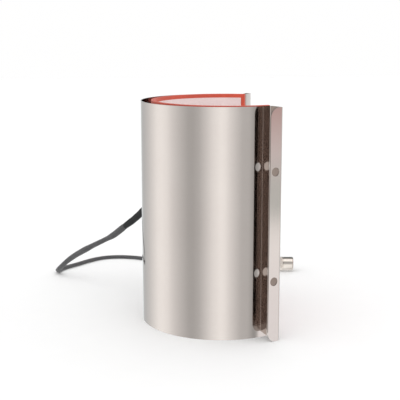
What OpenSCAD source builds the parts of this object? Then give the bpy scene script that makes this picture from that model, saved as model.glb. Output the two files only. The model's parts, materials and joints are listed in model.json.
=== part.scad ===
// Heating wrap of a mug heat press.
// A springy C of stainless sheet holds a silicone heater mat. The mug stands inside it, the mug's handle in
// the gap. A clamp pulls the two drilled lips together. A sleeved lead ends in a four-pole connector.
// Millimetres. +X points out of the gap, +Z up, and z = 0 is the surface that the wrap stands on.

/* [Shell] */
// Height of the sheet
shell_h = 160; // [120:1:200]
// Outer radius of the relaxed C
shell_r = 57; // [52:0.5:62]
// Sheet thickness
sheet_t = 0.8; // [0.6:0.1:1.2]
// Half of the angle left open between the two webs
gap_half = 61.5; // [55:0.1:64]
// Inside radius of the two bends at each end
bend_r = 0.8; // [0.6:0.1:1.5]

/* [Lips] */
// Distance from the shell's axis to the lip's outer face
lip_reach = 69.5; // [67:0.5:72]
// How much further round the lip's own normal lies than its web
lip_lean = 3.3; // [0:0.1:5]
// Width of the lip, from the web's corner to its free edge
lip_w = 10.1; // [9:0.1:12]
// Corner radius of the lip's free edge
lip_corner_r = 6.5; // [3:0.5:8]
// Diameter of the clamp holes
lip_hole_d = 6; // [4:0.1:6.5]
// Spacing of the two clamp holes on a lip
lip_hole_spacing = 75; // [50:1:90]
// Distance from the web's corner to the holes' centres
lip_hole_in = 5.9; // [5:0.1:6]

/* [Heater mat] */
// Outer radius of the mat
mat_r = 54; // [49:0.1:54]
// How far the mat's axis sits towards the gap, which leaves an air gap at the back
mat_shift = 4.5; // [4:0.1:4.6]
// Half of the angle left open between the mat's ends, about its own axis
mat_gap_half = 66; // [66:0.5:72]
// Thickness of the outer silicone ply
outer_ply_t = 1.4; // [1:0.1:1.6]
// Thickness of the inner silicone ply
inner_ply_t = 1.1; // [0.8:0.1:1.4]
// Thickness of the pale facing sheet
facing_t = 0.5; // [0.3:0.1:0.6]
// Height of the mat's lower edge above the shell's lower rim
mat_recess = 1; // [0.5:0.5:4]
// How far the mat stands proud of the shell's upper rim
mat_proud = 0.4; // [0:0.1:1.5]
// Bare silicone margin round the facing sheet
margin_w = 2.8; // [2:0.1:6]
// Number of runs of the heater element
run_count = 16; // [8:2:18]

/* [Flex] */
// Angle of the flex lines from the gap's middle, about the mat's axis
flex_angle = 120; // [118:1:122]
// Slit between the back and each wing
flex_slit = 0.3; // [0.2:0.1:0.6]

/* [Lead outlet] */
// Angle of the outlet from the gap's middle
outlet_angle = 130; // [128:1:140]
// Height of the outlet
outlet_z = 74; // [60:1:100]
// Diameter of the outlet hole in the sheet
outlet_d = 9; // [8:0.5:10]
// Diameter of each lead wire
wire_d = 1.2; // [0.8:0.1:1.4]

/* [Lead] */
// Diameter of the sleeved lead
lead_d = 4.5; // [4.2:0.1:4.6]
// Diameter of the shrink sleeve on its first stretch
shrink_d = 6; // [5.4:0.1:6.4]

/* [Connector] */
// Outer radius of the coupling ring
ring_r = 6; // [5.8:0.1:6]
// Length of the whole connector
plug_len = 34; // [32:0.5:36]
// Number of grip flutes on the coupling ring
flute_count = 18; // [8:1:24]
// Number of contact pins
pin_count = 4; // [2:1:5]

/* [Hidden] */
$fn = 96;
eps = 0.01;
// Each end of the sheet has a tongue this long, thinner by the inset, inside the arc that it joins
tongue_len = 0.5;
tongue_inset = 0.02;
bend_steps = 8;
// Facets of a circle where a thin layer depends on it
fine = 256;
steel = [0.78, 0.77, 0.75];
silicone = [0.82, 0.33, 0.22];
pale = [0.9, 0.82, 0.82];
black = [0.1, 0.1, 0.11];
nickel = [0.83, 0.82, 0.78];
gold = [0.85, 0.68, 0.35];

// Sheet metal
shell_in = shell_r - sheet_t;
bend_out = bend_r + sheet_t;
bend_lean = asin(bend_out / (shell_r + bend_r));
bend_x = (shell_r + bend_r) * cos(bend_lean);
tip_x = (lip_reach - bend_out - bend_out * sin(lip_lean)) / cos(lip_lean);
lip_start = -tip_x * sin(lip_lean) + bend_out * cos(lip_lean);
lip_corner = -lip_reach * tan(lip_lean);
lip_flat = lip_w - (lip_start - lip_corner);
hole_along = lip_hole_in - (lip_start - lip_corner);

// The frame's origin is midway between the back of the shell and the lips' corners
reach_x = max(tip_x * cos(gap_half) - bend_out * sin(gap_half) + bend_out, 0);
axis_x = (shell_r - reach_x) / 2;

// Heater mat
ply_r = mat_r - outer_ply_t;
inner_r = ply_r - inner_ply_t;
face_r = inner_r - facing_t;
foil_t = 0.2;
mat_low = mat_recess;
mat_h = shell_h - mat_recess + mat_proud;
margin_angle = margin_w / inner_r * 180 / PI;
run_pitch = (mat_h - 4 * margin_w) / run_count;
run_h = 0.65 * run_pitch;
run_low = mat_low + 2 * margin_w + (run_pitch - run_h) / 2;
run_gap_half = mat_gap_half + 2 * margin_angle;

// Flex lines: both layers are slit where they meet the line on the facing sheet's inner face
flex_x = mat_shift + face_r * cos(flex_angle);
flex_y = face_r * sin(flex_angle);
shell_flex = atan2(flex_y, flex_x);
shell_slit = flex_slit / 2 / shell_r * 180 / PI;
mat_slit = flex_slit / 2 / mat_r * 180 / PI;

// Bond strips under the mat's ends
bond_start = mat_gap_half - 2.4;
bond_sweep = 13;
bond_low = 6;

// Lead outlet: radii along the outlet's own direction
grommet_in = shell_in - 1.2;
grommet_out = shell_r + 1.4;
grommet_flange_r = outlet_d / 2 + 2;
grommet_bore_r = 3.1;
relief_len = 10;
relief_d = 7.4;
exit_r = grommet_out + relief_len;
mat_at_outlet = mat_shift * cos(outlet_angle)
    + sqrt(pow(mat_r, 2) - pow(mat_shift * sin(outlet_angle), 2));

// Terminal patch, sensor and wires between the mat and the shell
patch_t = 2.6;
patch_low = 30;
patch_h = 34;
patch_from = 128;
patch_sweep = 20;
sensor_r = 1;
sensor_len = 6;
sensor_angle = 143;
wire_count = 4;
wire_pitch = 1.5;
wire_x = mat_at_outlet + 0.8;
wire_bend_r = 2;

// Connector, measured from its rear face along its axis
plug_tip = [81.6, 115.6];
plug_turn = -8.1;
bush_r = 2.5;
tail_r = 4;
tail_len = 9;
body_r = 5.3;
body_len = 13;
neck_r = 4.3;
neck_len = 2.5;
nose_r = 4.8;
nose_end = 29.5;
insert_r = 4;
insert_start = 24;
ring_lip_r = 4.35;
ring_start = 22.3;
ring_lip_len = 2;
ring_bore_r = 5.2;
ring_chamfer = 0.8;
flute_r = 0.4;
flute_len = 6;
pin_r = 0.5;
pin_root_r = 0.3;
pin_circle_r = 2.2;
pin_end = 32.5;
ear_y = 4.4;
ear_w = 2.4;
ear_t = 1.2;
screw_r = 0.7;
screw_head_r = 1.1;
screw_head_h = 0.8;
seat_r = 1.25;

// The lead's centre line, relative to the shell's axis, from the strain relief to the connector's rear face
lead_route = [
    [exit_r * cos(outlet_angle), exit_r * sin(outlet_angle), outlet_z],
    [-47.3, 56.3, 73], [-50.8, 60.4, 70], [-54.7, 64.8, 65], [-60, 70, 59], [-67.2, 76, 52.2],
    [-76, 83.6, 43.6], [-84, 90.4, 37.8], [-92, 97.2, 32.4], [-100.5, 105, 26.2], [-108.5, 112, 20],
    [-114.8, 116.8, 14.4], [-119.4, 121.4, 9.2], [-122.4, 126.6, 5], [-123.2, 132.4, 2.8],
    [-121.3, 138.2, 2.3], [-114.6, 146.2, 2.3], [-105.6, 155.2, 2.3], [-97, 164.4, 2.3],
    [-88.5, 171.6, 2.3], [-79, 175.6, 2.3], [-68.5, 176, 2.3], [-58, 173.2, 2.3], [-48, 168, 2.3],
    [-37, 160.4, 2.3], [-26, 152.2, 2.3], [-14.5, 144.6, 2.3], [-2.5, 137.8, 2.3], [10, 132, 2.4],
    [22, 127.4, 3.3], [34, 123.4, 5], [41.8, 121.5, 5.9], plug_point(0)
];
shrink_rings = 6;
lead_sides = 10;

// ---------- helpers ----------

// A point on the connector's axis, a distance from its rear face
function plug_point(along) = [
    plug_tip[0] - (plug_len - along) * cos(plug_turn),
    plug_tip[1] - (plug_len - along) * sin(plug_turn),
    ring_r
];

// Direction of a route at one of its points
function heading(route, i) =
    let (a = route[max(i - 1, 0)], b = route[min(i + 1, len(route) - 1)])
    (b - a) / norm(b - a);

// One ring of a swept tube
function tube_ring(route, i, r, sides) =
    let (
        t = heading(route, i),
        side = cross(t, [0, 0, 1]) / norm(cross(t, [0, 0, 1])),
        up = cross(side, t)
    )
    [for (k = [0 : sides - 1])
        route[i] + r * (cos(k * 360 / sides) * side + sin(k * 360 / sides) * up)];

// A round tube along a route, closed at both ends
module tube_along(route, d, sides) {
    n = len(route);
    points = [for (i = [0 : n - 1]) each tube_ring(route, i, d / 2, sides)];
    walls = [for (i = [0 : n - 2]) for (k = [0 : sides - 1])
        let (a = i * sides + k, b = i * sides + (k + 1) % sides)
        each [[a, b, b + sides], [a, b + sides, a + sides]]];
    start = [for (k = [sides - 1 : -1 : 0]) k];
    end = [for (k = [0 : sides - 1]) (n - 1) * sides + k];
    polyhedron(points = points, faces = concat([start], walls, [end]), convexity = 8);
}

// Everything is drawn about the shell's axis, then moved so that the frame's origin is under its middle
module in_frame() {
    translate([axis_x, 0, 0]) children();
}

// An upright arc of sheet about the z axis
module arc_wall(r_in, r_out, from, to, low, height) {
    translate([0, 0, low])
        rotate([0, 0, from])
            rotate_extrude(angle = to - from)
                translate([r_in, 0]) square([r_out - r_in, height]);
}

// The far side's shapes, or their mirror image on the near side
module on_side(near) {
    if (near) mirror([0, 1, 0]) children();
    else children();
}

// Layers of the mat, about the mat's own axis
module mat_arc(r_in, r_out, from, to, low, height) {
    translate([mat_shift, 0, 0]) arc_wall(r_in, r_out, from, to, low, height);
}

// ---------- shell ----------

// Point at a radius and angle about a centre
function about(centre, r, a) = centre + r * [cos(a), sin(a)];

// Points of one face of a bend
function bend_points(centre, r, from, to) =
    [for (i = [0 : bend_steps]) about(centre, r, from + (to - from) * i / bend_steps)];

// One face of the sheet's end, as seen from above: tongue, bend, web, bend, lip. The web lies along x
function end_face(r, inset) =
    let (
        first = [bend_x, bend_out],
        second = [tip_x, bend_out],
        start = 180 + bend_lean,
        joint = about(first, r + inset, start)
    )
    concat(
        [joint + tongue_len * [-sin(bend_lean), cos(bend_lean)], joint],
        bend_points(first, r, start + 5, 270),
        bend_points(second, r, 270, 360 + lip_lean),
        [about(second, r, lip_lean) + lip_flat * [-sin(lip_lean), cos(lip_lean)]]
    );

function backwards(list) = [for (i = [len(list) - 1 : -1 : 0]) list[i]];

// One end of the sheet, with its holes drilled and its free corners rounded
module sheet_end() {
    rotate([0, 0, gap_half]) difference() {
        linear_extrude(shell_h)
            polygon(concat(end_face(bend_out, -tongue_inset), backwards(end_face(bend_r, tongue_inset))));
        rotate([0, 0, lip_lean]) {
            for (z = [(shell_h - lip_hole_spacing) / 2, (shell_h + lip_hole_spacing) / 2])
                translate([lip_reach - 2 * sheet_t, lip_start + hole_along, z])
                    rotate([0, 90, 0]) cylinder(d = lip_hole_d, h = 3 * sheet_t);
            lip_corner_cut();
            translate([0, 0, shell_h]) mirror([0, 0, 1]) lip_corner_cut();
        }
    }
}

// What the rounded corner takes off the lip's lower free corner
module lip_corner_cut() {
    edge = lip_start + lip_flat;
    translate([lip_reach - 2 * sheet_t, edge - lip_corner_r, 0])
        difference() {
            translate([0, 0, -1]) cube([3 * sheet_t, lip_corner_r + 1, lip_corner_r + 1]);
            translate([-1, 0, lip_corner_r]) rotate([0, 90, 0]) cylinder(r = lip_corner_r, h = 3 * sheet_t + 2);
        }
}

module shell_back() {
    color(steel) in_frame() difference() {
        arc_wall(shell_in, shell_r, shell_flex + shell_slit, 360 - shell_flex - shell_slit, 0, shell_h);
        at_outlet() cylinder(d = outlet_d, h = shell_r + 5);
    }
}

module shell_wing(near) {
    color(steel) in_frame() on_side(near) {
        arc_wall(shell_in, shell_r, gap_half + bend_lean, shell_flex - shell_slit, 0, shell_h);
        sheet_end();
    }
}

module shell_near_wing() { shell_wing(true); }
module shell_far_wing() { shell_wing(false); }

// ---------- heater mat ----------

// The outer ply, with the shallow pocket that the heater element lies in
module outer_ply(from, to, pocket_from, pocket_to) {
    color(silicone) in_frame() difference() {
        mat_arc(ply_r, mat_r, from, to, mat_low, mat_h);
        mat_arc(ply_r - 1, ply_r + foil_t, pocket_from, pocket_to, run_low - run_pitch / 4,
            run_count * run_pitch);
    }
}

module mat_outer_back() {
    outer_ply(flex_angle + mat_slit, 360 - flex_angle - mat_slit, flex_angle - 1, 361 - flex_angle);
}
module mat_outer_near() {
    outer_ply(360 - flex_angle + mat_slit, 360 - mat_gap_half, 359 - flex_angle, 360 - run_gap_half + 0.5);
}
module mat_outer_far() {
    outer_ply(mat_gap_half, flex_angle - mat_slit, run_gap_half - 0.5, flex_angle + 1);
}

module inner_ply(from, to) {
    color(silicone) in_frame() mat_arc(inner_r, ply_r, from, to, mat_low, mat_h);
}

module mat_inner_back() { inner_ply(flex_angle + mat_slit, 360 - flex_angle - mat_slit); }
module mat_inner_near() { inner_ply(360 - flex_angle + mat_slit, 360 - mat_gap_half); }
module mat_inner_far() { inner_ply(mat_gap_half, flex_angle - mat_slit); }

// Level runs of the heater element
module heater_runs(from, to) {
    color(gold) in_frame()
        for (i = [0 : run_count - 1])
            mat_arc(ply_r, ply_r + foil_t, from, to, run_low + i * run_pitch, run_h);
}

module heater_back() { heater_runs(flex_angle + mat_slit, 360 - flex_angle - mat_slit); }
module heater_near() { heater_runs(360 - flex_angle + mat_slit, 360 - run_gap_half); }
module heater_far() { heater_runs(run_gap_half, flex_angle - mat_slit); }

module facing(from, to) {
    color(pale) in_frame()
        mat_arc(face_r, inner_r, from, to, mat_low + margin_w, mat_h - 2 * margin_w);
}

module facing_back() { facing(flex_angle + mat_slit, 360 - flex_angle - mat_slit); }
module facing_near() { facing(360 - flex_angle + mat_slit, 360 - mat_gap_half - margin_angle); }
module facing_far() { facing(mat_gap_half + margin_angle, flex_angle - mat_slit); }

// Adhesive between the shell and the mat's end, where the two nearly touch
module bond_strip(near) {
    color(silicone) in_frame() on_side(near) difference() {
        arc_wall(mat_r + 0.3, shell_in, bond_start, bond_start + bond_sweep, bond_low,
            shell_h - 2 * bond_low, $fn = fine);
        translate([mat_shift, 0, 0]) cylinder(r = mat_r, h = shell_h, $fn = fine);
    }
}

module bond_strip_near() { bond_strip(true); }
module bond_strip_far() { bond_strip(false); }

// ---------- lead outlet ----------

// z runs outwards along the outlet's direction, from the shell's axis
module at_outlet() {
    translate([0, 0, outlet_z]) rotate([0, 0, outlet_angle]) rotate([0, 90, 0]) children();
}

module terminal_patch() {
    color(silicone) in_frame() difference() {
        mat_arc(mat_r, mat_r + patch_t, patch_from, patch_from + patch_sweep, patch_low, patch_h);
        translate([mat_shift, 0, 0]) rotate([0, 0, sensor_angle]) sensor_pocket();
    }
}

// Round seat for the sensor, open towards the mat
module sensor_pocket() {
    translate([mat_r + sensor_r, 0, sensor_low()]) cylinder(r = sensor_r, h = sensor_len);
    translate([mat_r - 1, -sensor_r, sensor_low()]) cube([1 + sensor_r, 2 * sensor_r, sensor_len]);
}

function sensor_low() = patch_low + (patch_h - sensor_len) / 2;

module sensor() {
    color(black) in_frame() translate([mat_shift, 0, 0]) rotate([0, 0, sensor_angle])
        translate([mat_r + sensor_r, 0, sensor_low()]) cylinder(r = sensor_r, h = sensor_len);
}

// Wires rise from the patch and turn out through the grommet
module lead_wires() {
    top = patch_low + patch_h;
    color(silicone) in_frame() rotate([0, 0, outlet_angle])
        for (i = [0 : wire_count - 1])
            translate([wire_x, (i - (wire_count - 1) / 2) * wire_pitch, 0]) {
                translate([0, 0, top]) cylinder(d = wire_d, h = outlet_z - wire_bend_r - top, $fn = 24);
                translate([wire_bend_r, 0, outlet_z - wire_bend_r])
                    rotate([90, 0, 0]) rotate([0, 0, 90])
                        rotate_extrude(angle = 90, $fn = 48)
                            translate([wire_bend_r, 0]) circle(d = wire_d, $fn = 24);
                translate([wire_bend_r, 0, outlet_z]) rotate([0, 90, 0])
                    cylinder(d = wire_d, h = grommet_out - wire_x - wire_bend_r, $fn = 24);
            }
}

module grommet() {
    color(black) in_frame() difference() {
        union() {
            intersection() {
                at_outlet() cylinder(r = grommet_flange_r, h = shell_r + 5);
                translate([0, 0, outlet_z - 20]) difference() {
                    cylinder(r = grommet_out, h = 40, $fn = fine);
                    translate([0, 0, -1]) cylinder(r = shell_r, h = 42, $fn = fine);
                }
            }
            intersection() {
                at_outlet() cylinder(r = grommet_flange_r, h = shell_r + 5);
                translate([0, 0, outlet_z - 20]) difference() {
                    cylinder(r = shell_in, h = 40, $fn = fine);
                    translate([0, 0, -1]) cylinder(r = grommet_in, h = 42, $fn = fine);
                }
            }
            intersection() {
                at_outlet() cylinder(d = outlet_d, h = shell_r + 5);
                translate([0, 0, outlet_z - 20]) difference() {
                    cylinder(r = shell_r + eps, h = 40, $fn = fine);
                    translate([0, 0, -1]) cylinder(r = shell_in - eps, h = 42, $fn = fine);
                }
            }
        }
        at_outlet() cylinder(r = grommet_bore_r, h = shell_r + 10);
    }
}

module strain_relief() {
    color(black) in_frame() at_outlet()
        translate([0, 0, grommet_out])
            cylinder(d1 = relief_d, d2 = shrink_d, h = relief_len);
}

module shrink_sleeve() {
    color(black) in_frame() tube_along([for (i = [0 : shrink_rings - 1]) lead_route[i]], shrink_d, lead_sides);
}

module lead() {
    color(black) in_frame() tube_along(lead_route, lead_d, lead_sides);
}

// ---------- connector ----------

// z runs along the connector's axis, from its rear face to its mouth, and -x is up
module in_plug() {
    in_frame() translate(plug_point(0)) rotate([0, 0, plug_turn]) rotate([0, 90, 0]) children();
}

module disc(r, from, to) {
    translate([0, 0, from]) cylinder(r = r, h = to - from);
}

module plug_barrel() {
    body_start = tail_len;
    neck_start = tail_len + body_len;
    color(nickel) in_plug() difference() {
        union() {
            disc(tail_r, 0, body_start);
            disc(body_r, body_start, neck_start);
            disc(neck_r, neck_start, neck_start + neck_len);
            disc(nose_r, neck_start + neck_len, nose_end);
            for (side = [-1, 1])
                translate([0, side * ear_y - ear_w / 2, 1]) cube([ear_t, ear_w, tail_len - 2]);
        }
        disc(bush_r, -1, insert_start + eps);
        disc(insert_r, insert_start, nose_end + 1);
        // the clamp saddle's half of the tail is cut away
        translate([-tail_r - 1, -tail_r - 1, 1]) cube([tail_r + 1, 2 * tail_r + 2, tail_len - 2]);
        saddle_screw_holes();
    }
}

module saddle_screw_holes() {
    for (side = [-1, 1])
        translate([-ear_t - 1, side * ear_y, tail_len / 2]) rotate([0, 90, 0])
            cylinder(r = screw_r, h = 2 * ear_t + 2, $fn = 24);
}

module plug_saddle() {
    color(nickel) in_plug() difference() {
        intersection() {
            union() {
                disc(tail_r, 1.2, tail_len - 1.2);
                for (side = [-1, 1])
                    translate([-ear_t, side * ear_y - ear_w / 2, 1.2])
                        cube([ear_t, ear_w, tail_len - 2.4]);
            }
            translate([-10.2, -10, 0]) cube([10, 20, tail_len]);
        }
        disc(bush_r, 0, tail_len);
        saddle_screw_holes();
        // spot faces under the screw heads
        for (side = [-1, 1])
            translate([-ear_t - tail_r, side * ear_y, tail_len / 2]) rotate([0, 90, 0])
                cylinder(r = seat_r, h = tail_r, $fn = 24);
    }
}

module saddle_screws() {
    color(nickel) in_plug()
        for (side = [-1, 1])
            translate([0, side * ear_y, tail_len / 2]) rotate([0, 90, 0]) {
                translate([0, 0, -ear_t]) cylinder(r = screw_r, h = 2 * ear_t, $fn = 24);
                translate([0, 0, -ear_t - screw_head_h])
                    cylinder(r = screw_head_r, h = screw_head_h, $fn = 24);
            }
}

module plug_bush() {
    color(black) in_plug() disc(bush_r, 0, tail_len - 1);
}

module plug_insert() {
    color(black) in_plug() difference() {
        disc(insert_r, insert_start, nose_end);
        pins(pin_root_r, insert_start - 1, nose_end + 1);
    }
}

// Contact pins of one radius on their circle
module pins(r, from, to) {
    for (i = [0 : pin_count - 1])
        rotate([0, 0, i * 360 / pin_count])
            translate([pin_circle_r, 0, from]) cylinder(r = r, h = to - from, $fn = 24);
}

module plug_pins() {
    color(gold) in_plug() {
        pins(pin_root_r, insert_start, nose_end + 1);
        pins(pin_r, nose_end, pin_end);
    }
}

// The coupling ring turns on the barrel's neck, held between the body and the nose
module plug_ring() {
    color(nickel) in_plug() difference() {
        union() {
            disc(ring_r, ring_start, plug_len - ring_chamfer);
            translate([0, 0, plug_len - ring_chamfer])
                cylinder(r1 = ring_r, r2 = ring_r - ring_chamfer / 2, h = ring_chamfer);
        }
        disc(ring_lip_r, ring_start - 1, ring_start + ring_lip_len + eps);
        disc(ring_bore_r, ring_start + ring_lip_len, plug_len + 1);
        for (i = [0 : flute_count - 1])
            rotate([0, 0, i * 360 / flute_count])
                translate([ring_r + flute_r / 2, 0, ring_start + 1])
                    cylinder(r = flute_r, h = flute_len, $fn = 24);
    }
}

shell_back();
shell_near_wing();
shell_far_wing();
mat_outer_back();
mat_outer_near();
mat_outer_far();
mat_inner_back();
mat_inner_near();
mat_inner_far();
heater_back();
heater_near();
heater_far();
facing_back();
facing_near();
facing_far();
bond_strip_near();
bond_strip_far();
terminal_patch();
sensor();
lead_wires();
grommet();
strain_relief();
shrink_sleeve();
lead();
plug_barrel();
plug_ring();
plug_insert();
plug_pins();
plug_bush();
plug_saddle();
saddle_screws();
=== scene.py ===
"""Looks of a mug press heating wrap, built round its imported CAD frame.

A springy C of polished stainless sheet holds an orange silicone heater mat. A sleeved lead leaves its back
and ends in a small metal connector. Lengths are in metres, and angles in degrees from the gap's middle.
"""

import json
import logging
import math
from dataclasses import dataclass, field
from enum import Enum
from typing import Callable, Optional, Sequence

import bmesh
import bpy
from mathutils import Euler, Matrix, Vector

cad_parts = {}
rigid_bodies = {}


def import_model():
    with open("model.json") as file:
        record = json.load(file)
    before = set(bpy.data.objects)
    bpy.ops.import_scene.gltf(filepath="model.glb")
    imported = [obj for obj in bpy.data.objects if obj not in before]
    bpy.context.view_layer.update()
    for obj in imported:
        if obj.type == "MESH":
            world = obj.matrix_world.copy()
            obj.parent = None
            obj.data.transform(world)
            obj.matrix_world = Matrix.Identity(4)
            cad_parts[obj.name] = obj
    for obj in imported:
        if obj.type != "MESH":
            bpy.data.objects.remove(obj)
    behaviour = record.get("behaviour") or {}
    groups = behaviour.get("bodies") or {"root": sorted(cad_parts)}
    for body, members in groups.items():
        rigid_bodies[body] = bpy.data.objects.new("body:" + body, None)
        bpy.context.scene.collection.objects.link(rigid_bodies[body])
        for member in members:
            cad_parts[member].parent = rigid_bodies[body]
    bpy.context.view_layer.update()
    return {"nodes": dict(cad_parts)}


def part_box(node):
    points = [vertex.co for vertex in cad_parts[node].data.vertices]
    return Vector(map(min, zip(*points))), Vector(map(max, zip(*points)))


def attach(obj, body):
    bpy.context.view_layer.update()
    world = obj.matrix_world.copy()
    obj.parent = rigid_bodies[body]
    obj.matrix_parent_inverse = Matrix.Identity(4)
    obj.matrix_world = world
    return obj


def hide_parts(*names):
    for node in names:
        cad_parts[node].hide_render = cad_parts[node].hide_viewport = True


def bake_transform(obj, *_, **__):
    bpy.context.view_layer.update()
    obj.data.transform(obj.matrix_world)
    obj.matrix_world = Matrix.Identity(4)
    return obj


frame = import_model()
LOG = logging.getLogger("heating_wrap")

Point2 = tuple[float, float]
Colour = tuple[float, float, float]


# ---------- driving sizes ----------


@dataclass(frozen=True)
class WrapSize:
    """Driving sizes of the wrap, the same as in the part's source."""

    shell_r: float = 0.057
    sheet_t: float = 0.0008
    gap_half: float = 61.5
    bend_r: float = 0.0008
    lip_reach: float = 0.0695
    lip_lean: float = 3.3
    lip_w: float = 0.0101
    lip_corner_r: float = 0.0065
    lip_hole_r: float = 0.003
    lip_hole_spacing: float = 0.075
    lip_hole_in: float = 0.0059
    mat_r: float = 0.054
    mat_shift: float = 0.0045
    mat_end: float = 66.0
    outer_ply_t: float = 0.0014
    inner_ply_t: float = 0.0011
    facing_t: float = 0.0005
    mat_recess: float = 0.001
    mat_proud: float = 0.0004
    margin: float = 0.0028
    foil_t: float = 0.0002
    foil_runs: int = 16
    outlet_angle: float = 130.0
    outlet_z: float = 0.074
    outlet_r: float = 0.0045
    exit_r: float = 0.0684
    plug_len: float = 0.034
    plug_turn: float = -8.1

    @property
    def bend_out(self) -> float:
        """Outside radius of a bend in the sheet."""
        return self.bend_r + self.sheet_t

    @property
    def bend_lean(self) -> float:
        """Angle from the web to where the arc runs into its bend."""
        return math.degrees(math.asin(self.bend_out / (self.shell_r + self.bend_r)))

    @property
    def tip_x(self) -> float:
        """Distance of the outer bend's centre along the web."""
        lean = math.radians(self.lip_lean)
        return (self.lip_reach - self.bend_out - self.bend_out * math.sin(lean)) / math.cos(lean)

    @property
    def lip_start(self) -> float:
        """Where the flat of the lip starts, across its normal."""
        lean = math.radians(self.lip_lean)
        return self.bend_out * math.cos(lean) - self.tip_x * math.sin(lean)

    @property
    def lip_flat(self) -> float:
        """Width of the flat of the lip."""
        corner = -self.lip_reach * math.tan(math.radians(self.lip_lean))
        return self.lip_w - (self.lip_start - corner)

    @property
    def hole_along(self) -> float:
        """Distance of the clamp holes from the start of the lip's flat."""
        return self.lip_flat - (self.lip_w - self.lip_hole_in)

    @property
    def axis_x(self) -> float:
        """Place of the shell's own axis in the frame."""
        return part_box("shell_back")[0].x + self.shell_r

    @property
    def height(self) -> float:
        """Height of the sheet."""
        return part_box("shell_back")[1].z

    @property
    def ply_r(self) -> float:
        """Radius of the joint between the mat's plies."""
        return self.mat_r - self.outer_ply_t

    @property
    def inner_r(self) -> float:
        """Inner radius of the bare mat."""
        return self.ply_r - self.inner_ply_t

    @property
    def face_r(self) -> float:
        """Inner radius of the facing sheet."""
        return self.inner_r - self.facing_t


SIZE = WrapSize()


class Side(Enum):
    """The two halves of the wrap; the value is the sign of y."""

    NEAR = -1
    FAR = 1

    @property
    def wing(self) -> str:
        """CAD body that this half's end rides on."""
        return f"{self.name.lower()}_wing"


BACK_BODY = "wrap_back"
RING_BODY = "coupling_ring"
FLEX_START = Vector((-0.0178, 0.0, 0.0))
FLEX_END = Vector((0.0238, 0.0, 0.0))

# The lead's centre line about the shell's axis, from the strain relief to the connector's rear face
LEAD_D = 0.0045
SHRINK_D = 0.006
LEAD_ROUTE: tuple[tuple[float, float, float], ...] = (
    (-0.0473, 0.0563, 0.073), (-0.0508, 0.0604, 0.07), (-0.0547, 0.0648, 0.065), (-0.06, 0.07, 0.059),
    (-0.0672, 0.076, 0.0522), (-0.076, 0.0836, 0.0436), (-0.084, 0.0904, 0.0378), (-0.092, 0.0972, 0.0324),
    (-0.1005, 0.105, 0.0262), (-0.1085, 0.112, 0.02), (-0.1148, 0.1168, 0.0144), (-0.1194, 0.1214, 0.0092),
    (-0.1224, 0.1266, 0.005), (-0.1232, 0.1324, 0.0028), (-0.1213, 0.1382, 0.0023),
    (-0.1146, 0.1462, 0.0023), (-0.1056, 0.1552, 0.0023), (-0.097, 0.1644, 0.0023),
    (-0.0885, 0.1716, 0.0023), (-0.079, 0.1756, 0.0023), (-0.0685, 0.176, 0.0023), (-0.058, 0.1732, 0.0023),
    (-0.048, 0.168, 0.0023), (-0.037, 0.1604, 0.0023), (-0.026, 0.1522, 0.0023), (-0.0145, 0.1446, 0.0023),
    (-0.0025, 0.1378, 0.0023), (0.01, 0.132, 0.0024), (0.022, 0.1274, 0.0033), (0.034, 0.1234, 0.005),
    (0.0418, 0.1215, 0.0059),
)
PLUG_TIP = Vector((0.0816, 0.1156, 0.006))
SHRINK_RINGS = 6


# ---------- finishes ----------


class Pattern(Enum):
    """Fine relief of a finish."""

    GRAIN = "grain"
    BRUSHED = "brushed"
    WEAVE = "weave"
    BRAID = "braid"
    TURNED = "turned"


class Sheet:
    """A material's node tree, with short calls to add and join nodes."""

    def __init__(self, name: str) -> None:
        """Start an empty material.

        Args:
            name: Name of the material.
        """
        self.material = bpy.data.materials.new(name)
        self.material.use_nodes = True
        self.tree = self.material.node_tree
        self.tree.nodes.clear()

    def add(self, kind: str, **values: object) -> bpy.types.Node:
        """Add a node.

        Args:
            kind: Node type.
            values: Input sockets by name with blanks as underscores, or the node's own properties.

        Returns:
            The node.
        """
        made = self.tree.nodes.new(kind)
        for key, value in values.items():
            socket = made.inputs.get(key.replace("_", " "))
            if socket is None:
                setattr(made, key, value)
            else:
                socket.default_value = value
        return made

    def join(self, out: bpy.types.NodeSocket, into: bpy.types.NodeSocket) -> None:
        """Link an output to an input.

        Args:
            out: Output socket.
            into: Input socket.
        """
        self.tree.links.new(out, into)

    def math(self, operation: str, a: object, b: object = 0.0) -> bpy.types.NodeSocket:
        """One arithmetic step.

        Args:
            operation: Blender's name of it.
            a: First operand, a socket or a number.
            b: Second operand, a socket or a number.

        Returns:
            The result's socket.
        """
        made = self.add("ShaderNodeMath", operation=operation)
        for socket, value in zip(made.inputs, (a, b)):
            if isinstance(value, bpy.types.NodeSocket):
                self.join(value, socket)
            else:
                socket.default_value = value
        return made.outputs[0]

    def noise(self, place: bpy.types.NodeSocket, scale: float, detail: float,
              stretch: Colour = (1, 1, 1)) -> bpy.types.NodeSocket:
        """Noise on stretched coordinates.

        Args:
            place: Coordinates.
            scale: Features per metre.
            detail: Octaves.
            stretch: Scale along each axis.

        Returns:
            The noise value's socket.
        """
        mapping = self.add("ShaderNodeMapping", Scale=stretch)
        self.join(place, mapping.inputs["Vector"])
        made = self.add("ShaderNodeTexNoise", Scale=scale, Detail=detail, Roughness=0.55)
        self.join(mapping.outputs[0], made.inputs["Vector"])
        return made.outputs[0]


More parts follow.
